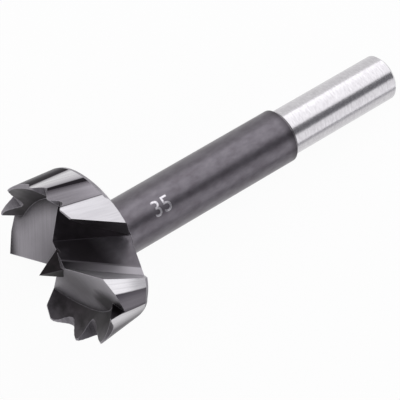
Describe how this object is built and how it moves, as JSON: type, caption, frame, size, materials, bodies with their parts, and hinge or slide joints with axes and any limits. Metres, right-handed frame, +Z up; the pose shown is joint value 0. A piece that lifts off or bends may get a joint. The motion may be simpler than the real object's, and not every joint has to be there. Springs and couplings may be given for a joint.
{
  "type": "forstner bit",
  "caption": "Wood-boring bit with a round two-wing head, wavy toothed rim, radial cutters, centre point and a plain cylindrical shank.",
  "frame": {"origin": "centre of the footprint's bounding box, on the surface the bit lies on", "axes": "+Z up, +X along the bit's length from the centre point towards the shank end, +Y across the head"},
  "size_m": [0.0896, 0.0348, 0.0342],
  "materials": {
    "tool_steel": "black oxide in the hollows and on the body, bright ground cutters, rim and shank"
  },
  "bodies": {
    "root": {"forstner_bit": "tool_steel"}
  },
  "joints": []
}
